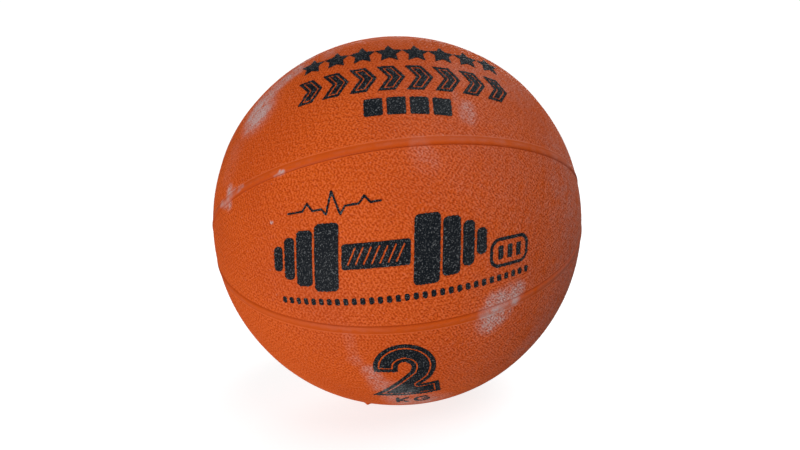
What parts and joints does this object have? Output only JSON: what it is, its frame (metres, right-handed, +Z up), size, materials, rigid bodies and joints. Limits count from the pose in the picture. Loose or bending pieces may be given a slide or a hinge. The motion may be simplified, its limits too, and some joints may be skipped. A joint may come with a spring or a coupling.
{
  "type": "medicine ball",
  "caption": "Weighted rubber medicine ball with pebbled gores, raised meridian ribs, pole discs and an inflation valve over a wound bladder.",
  "frame": {"origin": "centre of the ball", "axes": "+X along the pole axis out of the inflation valve, +Z up, -Y towards the printed front gore"},
  "size_m": [0.2153, 0.215, 0.215],
  "materials": {
    "cover_rubber": "orange pebbled rubber, matte with a faint sheen",
    "rib_rubber": "orange smooth rubber, satin, rubbed pale on the crests",
    "valve_rubber": "black soft rubber, satin",
    "ballast_rubber": "dark mineral-filled rubber, matte",
    "winding_thread": "wound nylon thread set in latex, matte",
    "bladder_rubber": "black butyl rubber, satin",
    "print_ink": "black screen-printed rubber ink, satin"
  },
  "bodies": {
    "root": {"cover_panel_1": "cover_rubber", "cover_panel_2": "cover_rubber", "cover_panel_3": "cover_rubber", "cover_panel_4": "cover_rubber", "cover_panel_5": "cover_rubber", "cover_panel_6": "cover_rubber", "cover_panel_7": "cover_rubber", "cover_panel_8": "cover_rubber", "seam_rib_1": "rib_rubber", "seam_rib_2": "rib_rubber", "seam_rib_3": "rib_rubber", "seam_rib_4": "rib_rubber", "seam_rib_5": "rib_rubber", "seam_rib_6": "rib_rubber", "seam_rib_7": "rib_rubber", "seam_rib_8": "rib_rubber", "pole_disc_valve": "rib_rubber", "pole_disc_plain": "rib_rubber", "ballast_half_valve": "ballast_rubber", "ballast_half_plain": "ballast_rubber", "thread_winding": "winding_thread", "bladder": "bladder_rubber", "valve_body": "valve_rubber", "valve_plug": "bladder_rubber"}
  },
  "joints": []
}
